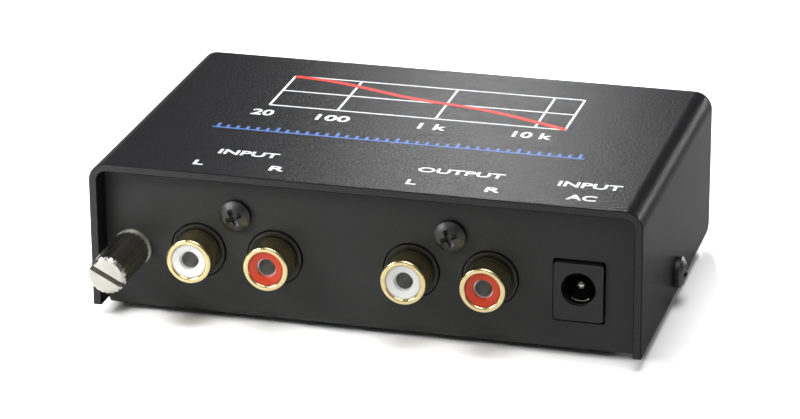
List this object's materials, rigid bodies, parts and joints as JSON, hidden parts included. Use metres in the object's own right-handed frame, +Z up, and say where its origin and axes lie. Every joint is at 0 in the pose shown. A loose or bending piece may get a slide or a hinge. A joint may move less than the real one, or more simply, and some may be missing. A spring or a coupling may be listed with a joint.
{
  "type": "phono preamp",
  "caption": "Small black steel box with gold phono jacks, a knurled ground screw and a low-voltage inlet on one end, a power light on the other, and a circuit board inside.",
  "frame": {"origin": "under the middle of the whole box, on the ground under the feet", "axes": "+X to the right as seen from the connector side, +Y from the connector side to the front panel, +Z up"},
  "size_m": [0.106, 0.076, 0.0302],
  "materials": {
    "cover_paint": "black powder coat with a fine grain",
    "tray_paint": "black powder coat with a fine grain",
    "black_screw": "blackened steel, satin",
    "rubber": "matt black rubber",
    "board": "green solder mask",
    "tinned_brass": "tin-plated brass",
    "zinc_steel": "zinc-plated steel",
    "nickel_plate": "bright nickel plate",
    "washer_steel": "dull darkened steel",
    "black_plastic": "moulded black plastic",
    "gold_plate": "polished gold plate",
    "white_insulator": "glossy white plastic",
    "red_insulator": "glossy red plastic",
    "contact_metal": "tin-plated spring metal",
    "chip_plastic": "moulded black epoxy",
    "lens": "clear bluish epoxy lens",
    "capacitor_sleeve": "dark blue shrink sleeve over an aluminium can",
    "resistor": "blue lacquer",
    "film_capacitor": "red moulded box",
    "ceramic": "tan dipped ceramic"
  },
  "bodies": {
    "case": {"top_cover": "cover_paint", "chassis_tray": "tray_paint", "cover_screws": "black_screw", "foot_rear_left": "rubber", "foot_rear_right": "rubber", "foot_front_left": "rubber", "foot_front_right": "rubber", "circuit_board": "board", "board_spacers": "tinned_brass", "board_screws": "zinc_steel", "input_jack_housing": "black_plastic", "output_jack_housing": "black_plastic", "jack_screws": "black_screw", "input_left_shell": "gold_plate", "input_left_insulator": "white_insulator", "input_left_contact": "contact_metal", "input_right_shell": "gold_plate", "input_right_insulator": "red_insulator", "input_right_contact": "contact_metal", "output_left_shell": "gold_plate", "output_left_insulator": "white_insulator", "output_left_contact": "contact_metal", "output_right_shell": "gold_plate", "output_right_insulator": "red_insulator", "output_right_contact": "contact_metal", "inlet_housing": "black_plastic", "inlet_pin": "nickel_plate", "inlet_switch_contact": "nickel_plate", "ground_bush": "tinned_brass", "ground_tag": "tinned_brass", "ground_nut": "zinc_steel", "light_holder": "black_plastic", "light_lens": "lens", "light_leads": "tinned_brass", "amplifier_chip_left": "chip_plastic", "amplifier_chip_right": "chip_plastic", "reservoir_capacitor_positive": "capacitor_sleeve", "reservoir_capacitor_negative": "capacitor_sleeve", "voltage_regulator_positive": "chip_plastic", "voltage_regulator_negative": "chip_plastic", "rectifier_diodes": "chip_plastic", "resistors_left": "resistor", "resistors_right": "resistor", "film_capacitors_left": "film_capacitor", "film_capacitors_right": "film_capacitor", "coupling_capacitors": "capacitor_sleeve", "ceramic_capacitors": "ceramic"},
    "ground_washer": {"ground_washer": "washer_steel"},
    "ground_screw": {"ground_thumbscrew": "nickel_plate"},
    "inlet_spring": {"inlet_sleeve_spring": "nickel_plate"}
  },
  "joints": [
    {"name": "ground_screw_travel", "type": "slide", "parent": "case", "child": "ground_washer", "axis": [0, -1, 0], "range_m": [0, 0.0049]},
    {"name": "ground_screw_turn", "type": "hinge", "parent": "ground_washer", "child": "ground_screw", "pos_m": [-0.0444, -0.02745, 0.01295], "axis": [0, -1, 0], "range_deg": [0, 2520]},
    {"name": "inlet_spring_flex", "type": "hinge", "parent": "case", "child": "inlet_spring", "pos_m": [0.0389, -0.0143, 0.01057], "axis": [1, 0, 0], "range_deg": [0, 3], "stiffness_Nm_per_rad": 0.05}
  ],
  "couplings": [
    {"joint": "ground_screw_turn", "follows": "ground_screw_travel", "rad_per_m": 8976}
  ]
}
